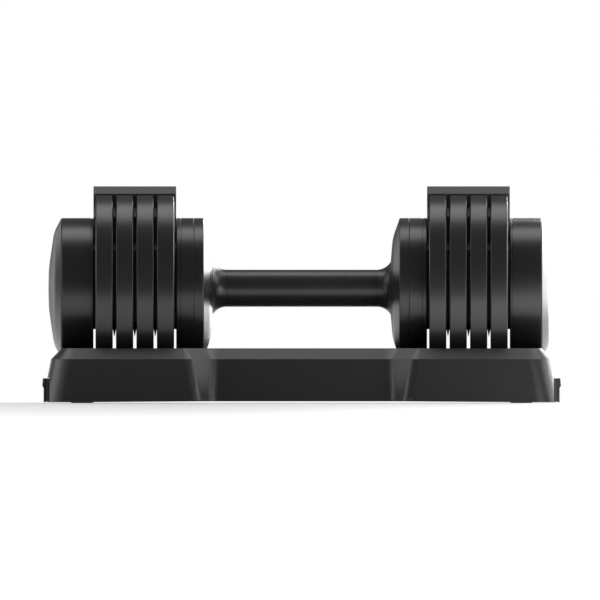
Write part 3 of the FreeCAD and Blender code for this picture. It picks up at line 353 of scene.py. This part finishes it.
def carve(bm, *tools):
    """A bmesh with the tools' solids cut away from it."""
    base = loose_object(bm)
    cutters = [loose_object(tool) for tool in tools]
    for cutter in cutters:
        step = base.modifiers.new("cut", "BOOLEAN")
        step.operation = "DIFFERENCE"
        step.solver = "EXACT"
        step.object = cutter
    seen = base.evaluated_get(bpy.context.evaluated_depsgraph_get())
    result = bmesh.new()
    result.from_mesh(seen.to_mesh())
    for item in [base] + cutters:
        bpy.data.meshes.remove(item.data)
    return result


def joined_copy(node):
    """A copy of a CAD node's shape, its loose triangles joined into whole flat faces."""
    bm = bmesh.new()
    bm.from_mesh(frame["nodes"][node].data)
    bmesh.ops.remove_doubles(bm, verts=bm.verts, dist=WELD)
    bmesh.ops.dissolve_limit(bm, angle_limit=FLAT, verts=bm.verts, edges=bm.edges)
    return bm


def eased_copy(node, offset, above=-1.0):
    """A joined copy with every edge sharper than a crease rounded over, if it is above a height."""
    bm = joined_copy(node)
    sharp = [edge for edge in bm.edges if edge.is_manifold and edge.calc_face_angle() > CREASE]
    wanted = [edge for edge in sharp if max(corner.co.z for corner in edge.verts) > above]
    ease(bm, wanted, offset, "EDGES")
    return bm


# ---------------------------------------------------------------- plates, bridges and dividers


def weight_plates():
    """Eight coated steel plates: turned discs with a notch for the bridge and channels for the dividers."""
    near, far = reach("right_plate_1")[:2]
    radius = round((AXIS_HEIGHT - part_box("right_plate_1")[0].z) / MM, 2)
    bevel = 0.7
    notch_half, notch_floor = 18, 60.8
    channel_half, channel_foot, channel_depth = 30.5, -37, 0.3
    past, above = 1, radius + 10
    disc = spun(
        [
            (near, ROD_BORE),
            (far, ROD_BORE),
            (far, radius - bevel),
            (far - bevel, radius),
            (near + bevel, radius),
            (near, radius - bevel),
        ],
        PLATE_EASE,
    )
    shape = carve(
        disc,
        block((near - past, -notch_half, notch_floor), (far + past, notch_half, above)),
        block((near - past, -channel_half, channel_foot), (near + channel_depth, channel_half, above)),
        block((far - channel_depth, -channel_half, channel_foot), (far + past, channel_half, above)),
    )
    for side in SIDES:
        for number in PLATES:
            node = f"{side}_plate_{number}"
            bm = shape.copy()
            bmesh.ops.translate(bm, verts=bm.verts, vec=((reach(node)[0] - near) * MM, 0.0, 0.0))
            finish_piece(f"{node}_disc", at_end(bm, side), f"{node}_body", "plate_paint", node)
    shape.free()


def bridges_and_dividers():
    """The moulded carriers that hold the plates apart."""
    for side in SIDES:
        node = f"{side}_bridge"
        finish_piece(f"{node}_moulding", eased_copy(node, FINE_EASE), "dumbbell", "bridge_black", node)
        for number in DIVIDERS:
            node = f"{side}_divider_{number}"
            finish_piece(f"{node}_blade", eased_copy(node, FINE_EASE), "dumbbell", "bridge_black", node)


# ---------------------------------------------------------------- round housings


def trim_groove(start):
    """The corners of the fine groove that runs round a housing."""
    floor = HOUSING_RADIUS - RIM
    return [
        (start, HOUSING_RADIUS, 0.15),
        (start, floor, 0.1),
        (start + RIM, floor, 0.1),
        (start + RIM, HOUSING_RADIUS, 0.15),
    ]


def cover_shape():
    """The shallow cone beside the hand, with the slot that the lock bar's foot comes through."""
    wall, bore = 2.2, FLARE_RADIUS + 0.5
    crease, crease_radius, inner_crease_radius = COVER_START + 1.5, 37.0, 36.45
    skirt = HOUSING_START - 7.1
    slot_low, slot_high = (74.0, -2.3, -60), (78.2, 2.3, -44)
    cone = spun(
        [
            (COVER_START, bore, 0.4),
            (crease, crease_radius, 4.0),
            (skirt, HOUSING_RADIUS, 0.7),
            (HOUSING_START - SEAM, HOUSING_RADIUS, 0.1),
            (HOUSING_START, HOUSING_RADIUS - SEAM, 0.1),
            (HOUSING_START, HOUSING_RADIUS - SHELL_WALL, 0.2),
            (skirt + wall, HOUSING_RADIUS - SHELL_WALL),
            (crease + wall, inner_crease_radius),
            (COVER_START + wall, bore, 0.4),
        ]
    )
    return carve(cone, block(slot_low, slot_high))


def housing_shape():
    """The cup inside the plates."""
    bore, floor = 9.5, HOUSING_END - SHELL_WALL
    return spun(
        [
            (HOUSING_START, HOUSING_RADIUS - SEAM, 0.1),
            (HOUSING_START + SEAM, HOUSING_RADIUS, 0.1),
            *trim_groove(floor - RIM),
            (HOUSING_END - RIM, HOUSING_RADIUS, 0.2),
            (HOUSING_END, HOUSING_RADIUS - RIM, 0.2),
            (HOUSING_END, bore, 0.2),
            (floor, bore, 0.2),
            (floor, HOUSING_RADIUS - SHELL_WALL),
            (HOUSING_START, HOUSING_RADIUS - SHELL_WALL, 0.2),
        ]
    )


def drum_shape():
    """The drum outside the plates."""
    floor = DRUM_START + SHELL_WALL
    return spun(
        [
            (DRUM_START, ROD_BORE, 0.2),
            (DRUM_START, HOUSING_RADIUS - RIM, 0.2),
            (DRUM_START + RIM, HOUSING_RADIUS, 0.2),
            *trim_groove(DRUM_START + RIM * 3),
            (DRUM_END - RIM, HOUSING_RADIUS, 0.25),
            (DRUM_END, HOUSING_RADIUS - RIM, 0.25),
            (DRUM_END, HOUSING_RADIUS - SHELL_WALL, 0.2),
            (floor, HOUSING_RADIUS - SHELL_WALL),
            (floor, ROD_BORE, 0.2),
        ]
    )


def cap_shape():
    """The domed cap that closes the drum."""
    crown_radius, crease_radius, inner_crease_radius, inner_radius = 15.4, 41.0, 39.5, 45.5
    return spun(
        [
            (CAP_CROWN - SHELL_WALL, 0.0, 0),
            (CAP_CROWN, 0.0, 0),
            (CAP_CROWN - 0.3, crown_radius, 5.0),
            (DRUM_END + 5.4, crease_radius, 3.0),
            (DRUM_END + SEAM, HOUSING_RADIUS - SEAM, 0.6),
            (DRUM_END, HOUSING_RADIUS - RIM, 0.1),
            (DRUM_END, inner_radius, 0.3),
            (DRUM_END + 2.4, inner_crease_radius, 1.0),
        ]
    )


def round_housings():
    """The cover, housing, drum and cap at each end."""
    shapes = {
        "inner_cover": (cover_shape(), "cone"),
        "inner_housing": (housing_shape(), "cup"),
        "outer_drum": (drum_shape(), "shell"),
        "end_cap": (cap_shape(), "dome"),
    }
    for part, (shape, word) in shapes.items():
        for side in SIDES:
            node = f"{side}_{part}"
            finish_piece(f"{node}_{word}", at_end(shape.copy(), side), "dumbbell", "housing_black", node)
        shape.free()


# ---------------------------------------------------------------- handle


def grip_shape():
    """The plain tube that the hand holds."""
    half, edge = FLARE_START, 0.15
    return spun(
        [
            (-half, GRIP_BORE, 0.1),
            (half, GRIP_BORE, 0.1),
            (half, GRIP_RADIUS - edge, 0.15),
            (half - edge, GRIP_RADIUS, 0.1),
            (edge - half, GRIP_RADIUS, 0.1),
            (-half, GRIP_RADIUS - edge, 0.15),
        ]
    )


def flare_shape():
    """The collar that sweeps up from the grip in an arc to a plain rim."""
    run, rise, turns = 10.0, FLARE_RADIUS - GRIP_RADIUS, 14
    sweep = (run * run + rise * rise) / (rise * 2)
    widest = math.asin(run / sweep)
    arc = []
    for number in range(1, turns):
        angle = widest * (turns - number) / turns
        place = FLARE_START + sweep * math.sin(angle)
        arc.append((place, GRIP_RADIUS + sweep * (1 - math.cos(angle)), 0))
    return spun(
        [
            (FLARE_START, GRIP_BORE, 0.1),
            (FLARE_END, GRIP_BORE, 0.2),
            (FLARE_END, FLARE_RADIUS, 0.4),
            (FLARE_START + run, FLARE_RADIUS, 0),
            *arc,
            (FLARE_START, GRIP_RADIUS, 0),
        ]
    )


def grip_and_flares():
    """The hand grip and the flared collars at its ends."""
    finish_piece("grip_tube", at_end(grip_shape(), "right"), "handle", "grip_black", "grip_sleeve")
    shape = flare_shape()
    for side in SIDES:
        collar = at_end(shape.copy(), side)
        finish_piece(f"{side}_flare_collar", collar, "handle", "grip_black", f"{side}_handle_flare")
    shape.free()


def lock_bars():
    """The nylon bars whose feet rest on the tray."""
    for side in SIDES:
        node = f"{side}_lock_bar"
        finish_piece(f"{side}_lock_slide", eased_copy(node, FINE_EASE), f"{side}_lock", "nylon", node)


# ---------------------------------------------------------------- tray


def closed_rail(node):
    """An end rail with a web that closes the space between its legs a little inside each end."""
    bm = eased_copy(node, INSERT_EASE)
    low, high = (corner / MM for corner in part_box(node))
    outward = math.copysign(1, high.x)
    wall = min(abs(low.x), abs(high.x))
    near, far = sorted((outward * (wall + 1.0), outward * (wall + 3.3)))
    thickness, inset = 1.4, 0.6
    for start in (low.y + inset, high.y - inset - thickness):
        web = block((near, start, low.z + 0.3), (far, start + thickness, high.z - 0.9))
        mesh = bpy.data.meshes.new("web")
        web.to_mesh(mesh)
        web.free()
        bm.from_mesh(mesh)
        bpy.data.meshes.remove(mesh)
    return bm


def tray_pieces():
    """The moulded tray: shell, deck, plate cradles and end rails."""
    shell = eased_copy("tray_shell", TRAY_EASE, above=2 * MM)
    finish_piece("tray_moulding", shell, "tray", "tray_black", "tray_shell")
    finish_piece("deck_insert", eased_copy("centre_deck", DECK_EASE), "tray", "tray_inner", "centre_deck")
    for side in SIDES:
        cradle, rail = f"{side}_plate_cradle", f"{side}_end_clip"
        finish_piece(f"{cradle}_insert", eased_copy(cradle, INSERT_EASE), "tray", "tray_inner", cradle)
        finish_piece(f"{rail}_rail", closed_rail(rail), "tray", "clip_black", rail)


# ---------------------------------------------------------------- nodes that keep their CAD shapes


def material_for_nodes():
    """Give each CAD node that still shows the finish of its slot."""
    slots = {part["node"]: part["material_slot"] for part in frame["record"]["subparts"]}
    for node, item in frame["nodes"].items():
        for slot in item.material_slots:
            slot.material = FINISHES[slots[node]]


weight_plates()
bridges_and_dividers()
round_housings()
grip_and_flares()
lock_bars()
tray_pieces()
material_for_nodes()


# ---------------------------------------------------------------- stage, light and camera


def softbox(name, toward, distance, width, height, brightness):
    """A large soft lamp that faces the dumbbell from a direction, as bright per area as asked."""
    middle = Vector((0.0, 0.0, AXIS_HEIGHT))
    toward = Vector(toward).normalized()
    lamp = bpy.data.lights.new(name, "AREA")
    lamp.shape = "RECTANGLE"
    lamp.size = width
    lamp.size_y = height
    lamp.energy = brightness * math.pi * width * height
    item = bpy.data.objects.new(name, lamp)
    item.location = middle + toward * distance
    item.rotation_euler = (-toward).to_track_quat("-Z", "Y").to_euler()
    item.visible_camera = False
    bpy.context.scene.collection.objects.link(item)


def ramp(finish, socket, start, end, low, high):
    """A smooth change from low to high as a socket's value goes from start to end."""
    limits = {"From_Min": start, "From_Max": end, "To_Min": low, "To_Max": high}
    soft = {"interpolation_type": "SMOOTHSTEP"}
    return Value(finish, finish.node("ShaderNodeMapRange", soft, Value=socket, **limits).outputs[0])


def stage_floor():
    """A pale floor, level under the tray and falling gently away in front of it, whose glow is painted
    light and shade.
    """
    half_width, level_depth, slope, easing = 3.0, 0.09, 0.16, 0.03
    bm = bmesh.new()
    bmesh.ops.create_grid(bm, x_segments=1, y_segments=60, size=half_width)
    for corner in bm.verts:
        ahead = max(0.0, -corner.co.y - level_depth)
        corner.co.z = -slope * ahead * ahead / (ahead + easing)
    mesh = bpy.data.meshes.new("floor")
    bm.to_mesh(mesh)
    bm.free()
    mesh.shade_smooth()
    floor = bpy.data.objects.new("floor", mesh)
    bpy.context.scene.collection.objects.link(floor)
    pale = (0.9, 0.9, 0.9, 1)
    finish = Finish("pale_floor", 0.9, Specular_IOR_Level=0.0, Emission_Strength=1.0, Base_Color=pale)
    spot = finish.node("ShaderNodeSeparateXYZ", Vector=finish.place).outputs
    # painted shadow: the floor glows less close in front of the tray
    ahead = ramp(finish, spot["Y"], -0.08, -0.24, 0.12, 0.5)
    # painted light: the floor glows brighter towards the right
    right = ramp(finish, spot["X"], -0.1, 0.25, 0.0, 1.1)
    # painted light: extra glow on the floor far in front
    far = ramp(finish, spot["Y"], -0.4, -0.9, 0.0, 0.7)
    # the floor's emission carries this painted light and painted shadow
    painted_light_and_shadow = ahead * (1 + right) + far
    finish.feed(finish.shader.inputs["Emission Color"], painted_light_and_shadow)
    mesh.materials.append(finish.material)


def studio():
    """A white backdrop, a dim room for the black surfaces to mirror, and soft lamps."""
    world = bpy.data.worlds.new("studio")
    world.use_nodes = True
    tree = world.node_tree
    tree.nodes.clear()
    output = tree.nodes.new("ShaderNodeOutputWorld")
    seen = tree.nodes.new("ShaderNodeBackground")
    seen.inputs["Color"].default_value = (1, 1, 1, 1)
    dim = tree.nodes.new("ShaderNodeBackground")
    dim.inputs["Color"].default_value = (1, 1, 1, 1)
    dim.inputs["Strength"].default_value = 0.14
    mix = tree.nodes.new("ShaderNodeMixShader")
    path = tree.nodes.new("ShaderNodeLightPath")
    tree.links.new(path.outputs["Is Camera Ray"], mix.inputs[0])
    tree.links.new(dim.outputs[0], mix.inputs[1])
    tree.links.new(seen.outputs[0], mix.inputs[2])
    tree.links.new(mix.outputs[0], output.inputs["Surface"])
    bpy.context.scene.world = world
    bpy.context.scene.view_settings.view_transform = "Standard"
    softbox("overhead", (0.0, 0.2, 1.0), 1.3, 2.0, 0.65, 2.3)
    softbox("right_rear", (0.45, 0.86, 0.28), 1.6, 1.0, 1.1, 6.0)
    softbox("left_rear", (-0.6, 0.8, 0.1), 1.6, 0.7, 0.6, 0.8)
    softbox("right_side", (0.97, 0.05, 0.4), 1.5, 1.0, 1.0, 2.6)
    softbox("right_near", (0.62, -0.78, -0.03), 0.55, 0.24, 0.14, 4.6)
    softbox("right_low", (0.86, 0.5, 0.12), 0.9, 0.55, 0.4, 7.0)
    softbox("left_near", (-0.86, -0.5, 0.0), 0.5, 0.2, 0.14, 1.2)
    softbox("left_side", (-1.0, 0.0, 0.35), 1.5, 1.0, 0.9, 1.8)


def camera():
    """The camera looks level and square at the long side."""
    lens = bpy.data.cameras.new("camera")
    lens.type = "ORTHO"
    lens.ortho_scale = 0.4401
    item = bpy.data.objects.new("camera", lens)
    item.location = (-0.0012, -2.0, 0.0754)
    item.rotation_euler = (math.pi / 2, 0, 0)
    bpy.context.scene.collection.objects.link(item)
    bpy.context.scene.camera = item


stage_floor()
studio()
camera()
